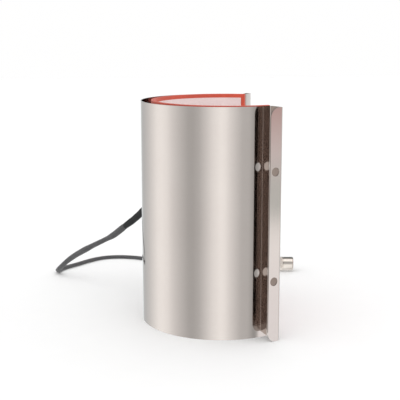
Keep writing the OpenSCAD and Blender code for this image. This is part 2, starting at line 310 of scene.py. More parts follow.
@dataclass(frozen=True)
class Finish:
    """How a surface looks.

    colour and shade are the two ends of its mottling; rough is its range of roughness; relief is the depth
    of its pattern in metres, and pitch the pattern's size in metres.
    """

    name: str
    colour: Colour
    shade: Colour
    rough: Point2
    pattern: Pattern = Pattern.GRAIN
    pitch: float = 0.0005
    relief: float = 0.00002
    mottle: float = 90.0
    metallic: float = 0.0
    coat: float = 0.0
    sheen: float = 0.0
    ior: float = 1.5
    wear: float = 0.0

    def build(self) -> bpy.types.Material:
        """Make the material.

        Returns:
            The material.
        """
        sheet = Sheet(self.name)
        place = sheet.add("ShaderNodeTexCoord").outputs["Object"]
        shader = sheet.add("ShaderNodeBsdfPrincipled", Metallic=self.metallic, Coat_Weight=self.coat,
                           Sheen_Weight=self.sheen, IOR=self.ior)
        out = sheet.add("ShaderNodeOutputMaterial")
        sheet.join(shader.outputs[0], out.inputs[0])
        self._colour(sheet, place, shader)
        self._roughness(sheet, place, shader)
        height = self._height(sheet, place)
        bump = sheet.add("ShaderNodeBump", Strength=0.8, Distance=self.relief)
        sheet.join(height, bump.inputs["Height"])
        sheet.join(bump.outputs[0], shader.inputs["Normal"])
        return sheet.material

    def _colour(self, sheet: Sheet, place: bpy.types.NodeSocket, shader: bpy.types.Node) -> None:
        """Mottle between the two colours, broad patches with finer specks all over."""
        broad = sheet.noise(place, self.mottle, 4.0)
        fine = sheet.noise(place, self.mottle * 14, 2.0)
        mixed = sheet.math("ADD", sheet.math("MULTIPLY", broad, 0.7), sheet.math("MULTIPLY", fine, 0.3))
        ramp = sheet.add("ShaderNodeMapRange", From_Min=0.36, From_Max=0.64)
        sheet.join(mixed, ramp.inputs["Value"])
        mix = sheet.add("ShaderNodeMix", data_type="RGBA")
        for socket in mix.inputs:
            if socket.type == "RGBA" and socket.name in "AB":
                socket.default_value = (*(self.colour if socket.name == "A" else self.shade), 1)
        sheet.join(ramp.outputs[0], mix.inputs["Factor"])
        sheet.join(next(o for o in mix.outputs if o.type == "RGBA"), shader.inputs["Base Color"])

    def _roughness(self, sheet: Sheet, place: bpy.types.NodeSocket, shader: bpy.types.Node) -> None:
        """Vary the roughness over its range, with faint rubbed marks."""
        patch = sheet.noise(place, self.mottle * 0.6, 5.0)
        rubbed = sheet.noise(place, self.mottle * 5, 3.0, (0.3, 1.0, 2.2))
        mixed = sheet.math("ADD", sheet.math("MULTIPLY", patch, 1.0 - self.wear),
                           sheet.math("MULTIPLY", rubbed, self.wear))
        ramp = sheet.add("ShaderNodeMapRange", From_Min=0.3, From_Max=0.7, To_Min=self.rough[0],
                         To_Max=self.rough[1])
        sheet.join(mixed, ramp.inputs["Value"])
        sheet.join(ramp.outputs[0], shader.inputs["Roughness"])

    def _height(self, sheet: Sheet, place: bpy.types.NodeSocket) -> bpy.types.NodeSocket:
        """Relief of the finish's pattern."""
        if self.pattern is Pattern.BRUSHED:
            return sheet.noise(place, 1 / self.pitch, 3.0, (1.0, 1.0, 0.02))
        if self.pattern is Pattern.TURNED:
            return sheet.noise(place, 1 / self.pitch, 2.0, (0.03, 0.03, 1.0))
        if self.pattern is Pattern.GRAIN:
            return sheet.noise(place, 1 / self.pitch, 4.0)
        return self._woven(sheet)

    def _woven(self, sheet: Sheet) -> bpy.types.NodeSocket:
        """Threads over and under each other on the piece's own UV map, straight or on the slant."""
        flat = sheet.add("ShaderNodeUVMap", uv_map="UVMap").outputs[0]
        turn = 45.0 if self.pattern is Pattern.BRAID else 0.0
        mapping = sheet.add("ShaderNodeMapping", Rotation=(0, 0, math.radians(turn)),
                            Scale=(math.pi / self.pitch,) * 3)
        sheet.join(flat, mapping.inputs["Vector"])
        parts = sheet.add("ShaderNodeSeparateXYZ")
        sheet.join(mapping.outputs[0], parts.inputs[0])
        across = sheet.math("SINE", parts.outputs[0])
        along = sheet.math("SINE", parts.outputs[1])
        over = sheet.math("MULTIPLY", across, along)
        rounded = sheet.math("ADD", sheet.math("ABSOLUTE", across), sheet.math("ABSOLUTE", along))
        return sheet.math("ADD", sheet.math("MULTIPLY", over, 0.6), sheet.math("MULTIPLY", rounded, 0.4))


STEEL = Finish("polished_stainless", (0.467, 0.41, 0.381), (0.453, 0.395, 0.367), (0.075, 0.11),
               Pattern.BRUSHED, pitch=0.0004, relief=0.0000004, mottle=25, metallic=1.0, wear=0.4)
SILICONE = Finish("orange_silicone", (0.62, 0.075, 0.035), (0.5, 0.06, 0.03), (0.42, 0.58), Pattern.WEAVE,
                  pitch=0.0007, relief=0.00004, mottle=70, sheen=0.15)
# The facing sheet is whitish; the pink tint in both its colours is painted bounce light from the orange mat
# round it.
FACING = Finish("pale_facing", (0.8, 0.66, 0.65), (0.74, 0.6, 0.59), (0.35, 0.5), Pattern.WEAVE,
                pitch=0.0006, relief=0.00003, mottle=60, sheen=0.1)
FOIL = Finish("heater_foil", (0.4, 0.36, 0.3), (0.33, 0.3, 0.26), (0.3, 0.45), metallic=1.0)
ADHESIVE = Finish("silicone_adhesive", (0.45, 0.05, 0.03), (0.38, 0.04, 0.025), (0.2, 0.4), pitch=0.003,
                  relief=0.00015, coat=0.2)
RUBBER = Finish("black_rubber", (0.02, 0.02, 0.021), (0.032, 0.032, 0.033), (0.5, 0.7), pitch=0.0004,
                relief=0.00002, mottle=160)
SHRINK = Finish("shrink_tube", (0.013, 0.013, 0.014), (0.02, 0.02, 0.021), (0.42, 0.55), pitch=0.002,
                relief=0.00008, mottle=120, ior=1.28)
SLEEVE = Finish("woven_sleeve", (0.045, 0.046, 0.05), (0.028, 0.029, 0.032), (0.6, 0.8), Pattern.BRAID,
                pitch=0.0009, relief=0.00012, mottle=300, sheen=0.3)
STRAND = Finish("sleeve_strand", (0.072, 0.069, 0.072), (0.046, 0.044, 0.046), (0.45, 0.65), Pattern.GRAIN,
                pitch=0.0002, relief=0.00003, mottle=500, sheen=0.25)
NICKEL = Finish("nickel_plate", (0.54, 0.473, 0.43), (0.5, 0.437, 0.395), (0.1, 0.18), Pattern.TURNED,
                pitch=0.0003, relief=0.000004, mottle=120, metallic=1.0, wear=0.5)
ZINC = Finish("zinc_screw", (0.55, 0.56, 0.57), (0.45, 0.46, 0.48), (0.25, 0.4), metallic=1.0, mottle=400)
INSERT = Finish("moulded_insert", (0.025, 0.025, 0.028), (0.035, 0.035, 0.037), (0.4, 0.55), mottle=200)
GOLD = Finish("gold_contact", (0.85, 0.6, 0.24), (0.75, 0.5, 0.2), (0.15, 0.3), Pattern.TURNED,
              pitch=0.0002, relief=0.000003, metallic=1.0, mottle=300)
WIRE = Finish("wire_insulation", (0.78, 0.75, 0.7), (0.7, 0.66, 0.6), (0.35, 0.5), mottle=250)
EPOXY = Finish("sensor_epoxy", (0.02, 0.02, 0.025), (0.03, 0.03, 0.04), (0.12, 0.25), coat=0.5, mottle=250)
PAPER = Finish("pale_floor", (0.9, 0.9, 0.9), (0.885, 0.885, 0.885), (0.6, 0.75), mottle=4, relief=0.00001)


class Paints:
    """The scene's materials, each made once."""

    def __init__(self) -> None:
        """Start with none made."""
        self.made: dict[str, bpy.types.Material] = {}

    def get(self, finish: Finish) -> bpy.types.Material:
        """The material of a finish.

        Args:
            finish: The finish.

        Returns:
            Its material.
        """
        if finish.name not in self.made:
            self.made[finish.name] = finish.build()
        return self.made[finish.name]

    def coat(self, piece: bpy.types.Object, finish: Finish) -> None:
        """Give a piece one finish all over.

        Args:
            piece: The piece.
            finish: Its finish.
        """
        piece.data.materials.clear()
        piece.data.materials.append(self.get(finish))


PAINTS = Paints()


# ---------- mesh work ----------


def turned(point: Point2, degrees: float) -> Point2:
    """A point in plan turned about the origin.

    Args:
        point: The point.
        degrees: Angle, anticlockwise from above.

    Returns:
        The turned point.
    """
    c, s = math.cos(math.radians(degrees)), math.sin(math.radians(degrees))
    return (point[0] * c - point[1] * s, point[0] * s + point[1] * c)


def about(centre: Point2, r: float, degrees: float) -> Point2:
    """A point at a radius and angle about a centre, in plan.

    Args:
        centre: The centre.
        r: Radius.
        degrees: Angle.

    Returns:
        The point.
    """
    x, y = turned((r, 0.0), degrees)
    return (centre[0] + x, centre[1] + y)


def spread(first: float, last: float, steps: int) -> list[float]:
    """Evenly spaced values, both ends included.

    Args:
        first: First value.
        last: Last value.
        steps: Number of gaps between them.

    Returns:
        The values.
    """
    return [first + (last - first) * i / steps for i in range(steps + 1)]


def rounded_spread(centre: float, r: float, steps: int) -> list[float]:
    """Values across a circle's width, closer together towards its two sides.

    Args:
        centre: Middle of the circle.
        r: Its radius.
        steps: Number of gaps.

    Returns:
        The values.
    """
    return [centre - r * math.cos(math.pi * i / steps) for i in range(steps + 1)]


def make_piece(name: str, points: Sequence[Sequence[float]], faces: Sequence[Sequence[int]],
               flat: Optional[Sequence[Point2]] = None, sharp: float = 35.0) -> bpy.types.Object:
    """Make a mesh piece with outward faces, smooth between its sharp edges.

    Args:
        name: Name of the piece.
        points: Its points.
        faces: Its faces.
        flat: Place of each point on the UV map, in metres.
        sharp: Edges turned by more than this many degrees stay sharp.

    Returns:
        The piece.
    """
    data = bpy.data.meshes.new(name)
    data.from_pydata([tuple(p) for p in points], [], [tuple(f) for f in faces])
    if flat is not None:
        layer = data.uv_layers.new(name="UVMap")
        for loop in data.loops:
            layer.data[loop.index].uv = flat[loop.vertex_index]
    work = bmesh.new()
    work.from_mesh(data)
    bmesh.ops.recalc_face_normals(work, faces=work.faces)
    work.to_mesh(data)
    work.free()
    data.shade_smooth()
    data.set_sharp_from_angle(angle=math.radians(sharp))
    piece = bpy.data.objects.new(name, data)
    bpy.context.scene.collection.objects.link(piece)
    return piece


def loft(name: str, rings: Sequence[Sequence[Sequence[float]]], flat: Sequence[Sequence[Point2]],
         sharp: float = 35.0) -> bpy.types.Object:
    """Join rings of points into a closed skin with capped ends.

    Args:
        name: Name of the piece.
        rings: Rings of the same number of points.
        flat: Place of each of those points on the UV map.
        sharp: Edges turned by more than this many degrees stay sharp.

    Returns:
        The piece.
    """
    size = len(rings[0])
    faces = [[i * size + k, i * size + (k + 1) % size, (i + 1) * size + (k + 1) % size, (i + 1) * size + k]
             for i in range(len(rings) - 1) for k in range(size)]
    faces.append(list(range(size)))
    faces.append([(len(rings) - 1) * size + k for k in range(size)])
    points = [p for ring in rings for p in ring]
    return make_piece(name, points, faces, [f for row in flat for f in row], sharp)


@dataclass(frozen=True)
class Frame3:
    """A place on a path: a point, the path's heading there, and two directions across it."""

    point: Vector
    heading: Vector
    side: Vector
    up: Vector


def frames_along(path: Sequence[Vector]) -> list[Frame3]:
    """Frames along a path, level to the side at its start and never twisting.

    Args:
        path: Points of the path.

    Returns:
        One frame for each point.
    """
    made: list[Frame3] = []
    side = Vector((0, 0, 0))
    for i, point in enumerate(path):
        heading = (path[min(i + 1, len(path) - 1)] - path[max(i - 1, 0)]).normalized()
        if i == 0:
            side = heading.cross(Vector((0, 0, 1))).normalized()
        side = (side - heading * side.dot(heading)).normalized()
        made.append(Frame3(point, heading, side, side.cross(heading)))
    return made


def smooth_path(points: Sequence[Vector], per_span: int) -> list[Vector]:
    """A smooth line through points, by Catmull and Rom's cubic.

    Args:
        points: Points that the line goes through.
        per_span: Steps between one and the next.

    Returns:
        The line's points.
    """
    ends = [points[0] * 2 - points[1], *points, points[-1] * 2 - points[-2]]
    line: list[Vector] = []
    for a, b, c, d in zip(ends, ends[1:], ends[2:], ends[3:]):
        for i in range(per_span):
            t = i / per_span
            line.append(0.5 * (b * 2 + (c - a) * t + (a * 2 - b * 5 + c * 4 - d) * t ** 2
                               + (b * 3 - a - c * 3 + d) * t ** 3))
    return [*line, points[-1].copy()]


def length_of(path: Sequence[Vector]) -> float:
    """Length of a path.

    Args:
        path: Its points.

    Returns:
        The length.
    """
    return sum((b - a).length for a, b in zip(path, path[1:]))


def lathe(name: str, profile: Sequence[Point2], place: Matrix, segments: int = 96,
          shape: Optional[Callable[[float, float, float], float]] = None) -> bpy.types.Object:
    """Turn a closed profile about an axis.

    Args:
        name: Name of the piece.
        profile: (radius, distance along the axis) of each corner, in order round the profile.
        place: Puts the axis, which is z, where it belongs.
        segments: Steps round the axis.
        shape: Changes a radius, given the angle in degrees, the distance along and the radius.

    Returns:
        The piece.
    """
    size = len(profile)
    points, flat = [], []
    for i in range(segments):
        a = 360.0 * i / segments
        for r, along in profile:
            r_here = shape(a, along, r) if shape else r
            x, y = turned((r_here, 0.0), a)
            points.append(place @ Vector((x, y, along)))
            flat.append((math.radians(a) * r, along))
    faces = [[i * size + k, ((i + 1) % segments) * size + k, ((i + 1) % segments) * size + (k + 1) % size,
              i * size + (k + 1) % size] for i in range(segments) for k in range(size)]
    return make_piece(name, points, faces, flat)


# ---------- sheet metal ----------


@dataclass(frozen=True)
class Station:
    """One upright line of the sheet: its two faces in plan, and the levels where its material ends."""

    outside: Point2
    inside: Point2
    levels: tuple[float, ...]


@dataclass
class HalfShell:
    """Half of the shell, from the middle of its back to one lip."""

    side: Side
    piece: Optional[bpy.types.Object] = None

    def _levels(self, holes: Sequence[tuple[float, float]], inset: float = 0.0) -> tuple[float, ...]:
        """Levels of a station, given each hole's height and its half chord there."""
        levels = [inset]
        for z, chord in holes:
            levels += [z - chord, z + chord]
        return (*levels, SIZE.height - inset)

    def _holes(self, lip_chord: float = 0.0, outlet_chord: float = 0.0) -> list[tuple[float, float]]:
        """Heights and half chords of every hole on one station."""
        middle, half = SIZE.height / 2, SIZE.lip_hole_spacing / 2
        holes = [(middle - half, lip_chord), (middle + half, lip_chord)]
        if self.side is Side.FAR:
            holes.insert(1, (SIZE.outlet_z, outlet_chord))
        return holes

    def _arc(self) -> list[Station]:
        """Stations of the arc, from the back's middle to the first bend."""
        reach = math.degrees(SIZE.outlet_r / SIZE.shell_r)
        angles = spread(180.0, SIZE.gap_half + SIZE.bend_lean, 160)
        if self.side is Side.FAR:
            angles = [a for a in angles if abs(a - SIZE.outlet_angle) > reach * 1.05]
            angles = sorted(angles + rounded_spread(SIZE.outlet_angle, reach, 24), reverse=True)
        made = []
        for a in angles:
            away = math.radians(a - SIZE.outlet_angle) * SIZE.shell_r
            chord = math.sqrt(max(SIZE.outlet_r ** 2 - away ** 2, 0.0))
            made.append(Station(about((0, 0), SIZE.shell_r, a), about((0, 0), SIZE.shell_r - SIZE.sheet_t, a),
                                self._levels(self._holes(outlet_chord=chord if chord > 1e-5 else 0.0))))
        return made

    def _bend(self, x: float, start: float, end: float) -> list[Station]:
        """Stations round one bend, whose centre lies at x along the web."""
        made = []
        for a in spread(start, end, 10):
            faces = [turned(about((x, SIZE.bend_out), r, a), SIZE.gap_half)
                     for r in (SIZE.bend_r, SIZE.bend_out)]
            made.append(Station(faces[0], faces[1], self._levels(self._holes())))
        return made

    def _lip(self) -> list[Station]:
        """Stations across the flat of the lip, closer together round its holes and corners."""
        centre, r = SIZE.hole_along, SIZE.lip_hole_r
        corner = SIZE.lip_flat - SIZE.lip_corner_r
        across = rounded_spread(centre, r, 24) + [corner + SIZE.lip_corner_r * math.sin(math.radians(a))
                                                  for a in spread(10, 90, 10)]
        made = []
        for s in sorted(across):
            chord = math.sqrt(max(r ** 2 - (s - centre) ** 2, 0.0))
            into = max(s - corner, 0.0)
            inset = SIZE.lip_corner_r - math.sqrt(max(SIZE.lip_corner_r ** 2 - into ** 2, 0.0))
            faces = [turned((reach, SIZE.lip_start + s), SIZE.gap_half + SIZE.lip_lean)
                     for reach in (SIZE.lip_reach - SIZE.sheet_t, SIZE.lip_reach)]
            made.append(Station(faces[0], faces[1],
                                self._levels(self._holes(chord if chord > 1e-5 else 0.0), inset)))
        return made

    def stations(self) -> list[Station]:
        """All stations in order, from the back's middle to the lip's free edge.

        Returns:
            The stations.
        """
        first = self._bend(math.cos(math.radians(SIZE.bend_lean)) * (SIZE.shell_r + SIZE.bend_r),
                           180 + SIZE.bend_lean, 270)
        second = self._bend(SIZE.tip_x, 270, 360 + SIZE.lip_lean)
        return self._arc() + first[1:] + second + self._lip()

    def build(self) -> bpy.types.Object:
        """Make the half shell.

        Returns:
            The piece.
        """
        points: list[Vector] = []
        flat: list[Point2] = []
        index: list[list[tuple[int, int]]] = []
        along, last = 0.0, None
        for station in self.stations():
            here = Vector(station.outside)
            along += (here - last).length if last is not None else 0.0
            last = here
            row: list[tuple[int, int]] = []
            for k, z in enumerate(station.levels):
                if k and z == station.levels[k - 1]:
                    row.append(row[-1])
                    continue
                for x, y in (station.outside, station.inside):
                    points.append(Vector((x + SIZE.axis_x, y * self.side.value, z)))
                    flat.append((along, z))
                row.append((len(points) - 2, len(points) - 1))
            index.append(row)
        self.piece = make_piece(f"shell_{self.side.name.lower()}_half", points, self._faces(index), flat)
        return self.piece

    def _faces(self, index: Sequence[Sequence[tuple[int, int]]]) -> list[list[int]]:
        """Faces between the stations, walls along every rim and hole, and caps at both ends."""
        faces: list[list[int]] = []
        for a, b in zip(index, index[1:]):
            for k in range(0, len(a), 2):
                for face in (0, 1):
                    faces.append([a[k][face], a[k + 1][face], b[k + 1][face], b[k][face]])
            for k in range(len(a)):
                twin = k - 1 if k % 2 == 0 else k + 1
                closed = 0 <= twin < len(a) and a[twin] == a[k] and b[twin] == b[k]
                if not closed:
                    faces.append([a[k][0], b[k][0], b[k][1], a[k][1]])
        for row in (index[0], index[-1]):
            for k in range(0, len(row), 2):
                faces.append([row[k][0], row[k + 1][0], row[k + 1][1], row[k][1]])
        return faces

    def dress(self) -> None:
        """Paint the half shell in place of the CAD's shell pieces, which are hidden."""
        PAINTS.coat(self.piece, STEEL)
        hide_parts("shell_back", f"shell_{self.side.wing}")
        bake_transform(self.piece, BACK_BODY, self.side.wing, FLEX_START, FLEX_END)


# ---------- heater mat ----------


@dataclass(frozen=True)
class Layer:
    """An upright layer bent to an arc about the mat's axis."""

    r_in: float
    r_out: float
    low: float
    high: float
    end: float
    soft: float
    groove_r: float = 0.0

    def section(self, shrink: float) -> list[Point2]:
        """Outline of the layer's section, with soft corners.

        Args:
            shrink: How far the outline is drawn in all round.

        Returns:
            (radius, height) of each point.
        """
        soft = max(self.soft - shrink, self.soft * 0.2)
        a, b = self.r_in + shrink, self.r_out - shrink
        c, d = self.low + shrink, self.high - shrink
        made: list[Point2] = []
        for centre, start in (((b - soft, c + soft), 270), ((b - soft, d - soft), 0),
                              ((a + soft, d - soft), 90), ((a + soft, c + soft), 180)):
            made += [about(centre, soft, t) for t in spread(start, start + 90, 3)]
            if self.groove_r and start in (0, 180):
                level = d if start == 0 else c
                into = -1 if start == 0 else 1
                lip = self.soft / 3
                order = (1, 0, -1) if start == 0 else (-1, 0, 1)
                made += [(self.groove_r + k * lip, level + (into * lip if k == 0 else 0.0)) for k in order]
        return made


# Share of a run's pitch that is foil
FOIL_SHARE = 0.65


@dataclass
class HalfMat:
    """Half of the heater mat, with the heater element inside it and the facing sheet on it."""

    side: Side
    pieces: dict[str, bpy.types.Object] = field(default_factory=dict)

    def _arc(self, name: str, layer: Layer, steps: int = 90) -> bpy.types.Object:
        """One layer from the back's middle to its rounded end."""
        rings, flat = [], []
        round_off = math.degrees(layer.soft / layer.r_out)
        ends = [(layer.end + round_off * (1 - math.sin(math.radians(t))),
                 layer.soft * (1 - math.cos(math.radians(t)))) for t in (0, 30, 60, 85)]
        for a, shrink in [(a, 0.0) for a in spread(180.0, layer.end + round_off, steps)] + ends[1:]:
            ring, row = [], []
            for r, z in layer.section(shrink):
                x, y = about((SIZE.mat_shift + SIZE.axis_x, 0.0), r, a)
                ring.append((x, y * self.side.value, z))
                row.append((math.radians(a) * layer.r_out, z))
            rings.append(ring)
            flat.append(row)
        return loft(name, rings, flat, sharp=50.0)

    def build(self) -> None:
        """Make the mat, the facing sheet and the heater element."""
        low, high = SIZE.mat_recess, SIZE.height + SIZE.mat_proud
        word = self.side.name.lower()
        inset = math.degrees(SIZE.margin / SIZE.inner_r)
        self.pieces["mat"] = self._arc(f"mat_{word}_half", Layer(
            SIZE.inner_r, SIZE.mat_r, low, high, SIZE.mat_end, 0.0003, SIZE.ply_r))
        self.pieces["facing"] = self._arc(f"facing_{word}_half", Layer(
            SIZE.face_r, SIZE.inner_r + 0.00005, low + SIZE.margin, high - SIZE.margin,
            SIZE.mat_end + inset, 0.0001))
        self.pieces["heater"] = self._element(f"heater_{word}_half", inset)

    def _element(self, name: str, inset: float) -> bpy.types.Object:
        """The heater element: level runs, joined in pairs at the mat's end into one path."""
        box_low, box_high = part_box("heater_back")[0].z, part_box("heater_back")[1].z
        run_h = FOIL_SHARE * (box_high - box_low) / (SIZE.foil_runs - 1 + FOIL_SHARE)
        pitch = (box_high - box_low - run_h) / (SIZE.foil_runs - 1)
        end = SIZE.mat_end + 2 * inset
        link = math.degrees(run_h / SIZE.ply_r)
        points: list[Vector] = []
        faces: list[list[int]] = []
        first = 0 if self.side is Side.NEAR else 1
        for i in range(SIZE.foil_runs):
            low = box_low + i * pitch
            self._strip(points, faces, spread(180.0, end, 60), low, low + run_h)
        for i in range(first, SIZE.foil_runs - 1, 2):
            self._strip(points, faces, spread(end + link, end, 3), box_low + i * pitch + run_h,
                        box_low + (i + 1) * pitch)
        return make_piece(name, points, faces)

    def _strip(self, points: list[Vector], faces: list[list[int]], angles: Sequence[float], low: float,
               high: float) -> None:
        """Add one strip of foil to the lists of points and faces."""
        start = len(points)
        for a in angles:
            for r, z in ((SIZE.ply_r, low), (SIZE.ply_r + SIZE.foil_t, low), (SIZE.ply_r + SIZE.foil_t, high),
                         (SIZE.ply_r, high)):
                x, y = about((SIZE.mat_shift + SIZE.axis_x, 0.0), r, a)
                points.append(Vector((x, y * self.side.value, z)))
        for i in range(len(angles) - 1):
            for k in range(4):
                at = start + 4 * i
                faces.append([at + k, at + (k + 1) % 4, at + 4 + (k + 1) % 4, at + 4 + k])
        faces.append([start + k for k in range(4)])
        faces.append([len(points) - 4 + k for k in range(4)])

    def dress(self) -> None:
        """Paint the layers in place of the CAD's mat pieces, which are hidden."""
        word = self.side.name.lower()
        plan = {
            "mat": (SILICONE, "silicone_mat", ("mat_outer", "mat_inner")),
            "facing": (FACING, "facing_sheet", ("facing",)),
            "heater": (FOIL, "heater_foil", ("heater",)),
        }
        for key, (finish, slot, nodes) in plan.items():
            piece = self.pieces[key]
            PAINTS.coat(piece, finish)
            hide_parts(*[f"{n}_{end}" for n in nodes for end in ("back", word)])
            self.side.wing
            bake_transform(piece)


# ---------- lead outlet ----------


@dataclass
class Outlet:
    """The strain relief where the lead leaves the shell, and the CAD pieces round it."""

    relief: Optional[bpy.types.Object] = None
    ribs: int = 5
    rib_pitch: float = 0.0015
    rib_w: float = 0.0008
    rib_depth: float = 0.0005
    first_rib: float = 0.0018
    rib_r: float = 0.0036
    rib_taper: float = 0.0001

    def build(self) -> bpy.types.Object:
        """Make the ribbed strain relief.

        Returns:
            The piece.
        """
        low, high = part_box("strain_relief")
        start = SIZE.exit_r - 0.01
        place = outlet_place()
        profile: list[Point2] = [(0.0, start), (0.0041, start), (0.0041, start + 0.001),
                                 (0.0037, start + 0.0013)]
        for i in range(self.ribs):
            at = start + self.first_rib + i * self.rib_pitch
            r = self.rib_r - i * self.rib_taper
            root = r - self.rib_depth
            profile += [(r, at), (r, at + self.rib_w), (root, at + self.rib_w + 0.0002),
                        (root, at + self.rib_w + 0.0005)]
        profile += [(0.003, SIZE.exit_r - 0.0004), (0.0028, SIZE.exit_r), (0.0, SIZE.exit_r)]
        LOG.info("strain relief %.1f mm tall", (high.z - low.z) * 1000)
        self.relief = lathe("strain_relief_boot", profile, place, 48)
        return self.relief

    def dress(self) -> None:
        """Paint the outlet's pieces; the CAD's own pieces keep their place."""
        PAINTS.coat(self.relief, RUBBER)
        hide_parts("strain_relief")
        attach(self.relief, BACK_BODY)
        for node, finish in {"grommet": RUBBER, "terminal_patch": ADHESIVE, "sensor": EPOXY,
                             "lead_wires": WIRE, "bond_strip_near": ADHESIVE,
                             "bond_strip_far": ADHESIVE}.items():
            PAINTS.coat(frame["nodes"][node], finish)


def outlet_place() -> Matrix:
    """Puts an upright axis along the outlet, with its start on the shell's axis.

    Returns:
        The placing matrix.
    """
    return (Matrix.Translation((SIZE.axis_x, 0.0, SIZE.outlet_z))
            @ Matrix.Rotation(math.radians(SIZE.outlet_angle), 4, "Z")
            @ Matrix.Rotation(math.radians(90), 4, "Y"))


# ---------- lead ----------


@dataclass(frozen=True)
class Braid:
    """A braid of flat strands round a path, half of them wound each way and passing over and under."""

    strands: int = 20
    turns: float = 62.0
    strand_w: float = 0.00085
    strand_t: float = 0.00022
    wave: float = 0.0001
    step: float = 0.00042

    def tree(self, material: bpy.types.Material) -> bpy.types.GeometryNodeTree:
        """Build the node tree.

        Args:
            material: Material of the strands.

        Returns:
            The tree; its input is a line of points that carry the attributes wide and tall.
        """
        tree = bpy.data.node_groups.new("braid", "GeometryNodeTree")
        face = tree.interface
        face.new_socket("Geometry", in_out="INPUT", socket_type="NodeSocketGeometry")
        for name, kind in (("Strands", "NodeSocketInt"), ("Turns per metre", "NodeSocketFloat"),
                           ("Strand width", "NodeSocketFloat"), ("Strand thickness", "NodeSocketFloat"),
                           ("Wave", "NodeSocketFloat"), ("Step", "NodeSocketFloat")):
            face.new_socket(name, in_out="INPUT", socket_type=kind)
        face.new_socket("Geometry", in_out="OUTPUT", socket_type="NodeSocketGeometry")
        add, join = tree.nodes.new, tree.links.new
        given, out = add("NodeGroupInput"), add("NodeGroupOutput")

        def calc(operation: str, a: object, b: object = 0.0) -> bpy.types.NodeSocket:
            """One arithmetic step on sockets or numbers."""
            made = add("ShaderNodeMath")
            made.operation = operation
            for socket, value in zip(made.inputs, (a, b)):
                if isinstance(value, bpy.types.NodeSocket):
                    join(value, socket)
                else:
                    socket.default_value = value
            return made.outputs[0]

        def scaled(vector: bpy.types.NodeSocket, by: bpy.types.NodeSocket) -> bpy.types.NodeSocket:
            """A vector times a number."""
            made = add("ShaderNodeVectorMath")
            made.operation = "SCALE"
            join(vector, made.inputs[0])
            join(by, made.inputs["Scale"])
            return made.outputs[0]

        def vectors(operation: str, a: bpy.types.NodeSocket, b: bpy.types.NodeSocket) -> bpy.types.NodeSocket:
            """One step on two vectors."""
            made = add("ShaderNodeVectorMath")
            made.operation = operation
            join(a, made.inputs[0])
            join(b, made.inputs[1])
            return made.outputs[0]

        line = add("GeometryNodeMeshToCurve")
        join(given.outputs["Geometry"], line.inputs[0])
        even = add("GeometryNodeResampleCurve")
        even.mode = "LENGTH"
        join(line.outputs[0], even.inputs["Curve"])
        join(given.outputs["Step"], even.inputs["Length"])
        upright = add("GeometryNodeSetCurveNormal")
        upright.mode = "Z_UP"
        join(even.outputs[0], upright.inputs["Curve"])
        copies = add("GeometryNodeDuplicateElements")
        copies.domain = "SPLINE"
        join(upright.outputs[0], copies.inputs["Geometry"])
        join(given.outputs["Strands"], copies.inputs["Amount"])
        index = copies.outputs["Duplicate Index"]
        run = add("GeometryNodeSplineParameter").outputs["Length"]
        sense = calc("SUBTRACT", 1.0, calc("MULTIPLY", calc("MODULO", index, 2.0), 2.0))
        wound = calc("MULTIPLY", calc("MULTIPLY", run, given.outputs["Turns per metre"]), sense)
        turn = calc("MULTIPLY", calc("ADD", calc("DIVIDE", index, given.outputs["Strands"]), wound), math.tau)
        beat = calc("MULTIPLY", calc("MULTIPLY", run, given.outputs["Turns per metre"]),
                    calc("MULTIPLY", given.outputs["Strands"], math.pi))
        lift = calc("MULTIPLY", calc("MULTIPLY", calc("COSINE", beat), sense), given.outputs["Wave"])
        normal = add("GeometryNodeInputNormal").outputs[0]
        across = vectors("CROSS_PRODUCT", add("GeometryNodeInputTangent").outputs[0], normal)
        radii = []
        for name in ("wide", "tall"):
            read = add("GeometryNodeInputNamedAttribute")
            read.data_type = "FLOAT"
            read.inputs["Name"].default_value = name
            radii.append(calc("ADD", read.outputs["Attribute"], lift))
        outward = vectors("ADD", scaled(normal, calc("MULTIPLY", calc("COSINE", turn), radii[0])),
                          scaled(across, calc("MULTIPLY", calc("SINE", turn), radii[1])))
        kept = add("GeometryNodeCaptureAttribute")
        kept.capture_items.new("VECTOR", "Outward")
        join(copies.outputs["Geometry"], kept.inputs["Geometry"])
        join(outward, kept.inputs["Outward"])
        placed = add("GeometryNodeSetPosition")
        join(kept.outputs["Geometry"], placed.inputs["Geometry"])
        join(kept.outputs["Outward"], placed.inputs["Offset"])
        facing = add("GeometryNodeSetCurveNormal")
        facing.mode = "FREE"
        join(placed.outputs[0], facing.inputs["Curve"])
        join(kept.outputs["Outward"], facing.inputs["Normal"])
        section = add("GeometryNodeCurvePrimitiveQuadrilateral")
        section.mode = "RECTANGLE"
        join(given.outputs["Strand thickness"], section.inputs["Width"])
        join(given.outputs["Strand width"], section.inputs["Height"])
        solid = add("GeometryNodeCurveToMesh")
        solid.inputs["Fill Caps"].default_value = True
        join(facing.outputs[0], solid.inputs["Curve"])
        join(section.outputs[0], solid.inputs["Profile Curve"])
        real = add("GeometryNodeRealizeInstances")
        join(solid.outputs[0], real.inputs[0])
        paint = add("GeometryNodeSetMaterial")
        paint.inputs["Material"].default_value = material
        join(real.outputs[0], paint.inputs["Geometry"])
        join(paint.outputs[0], out.inputs["Geometry"])
        return tree

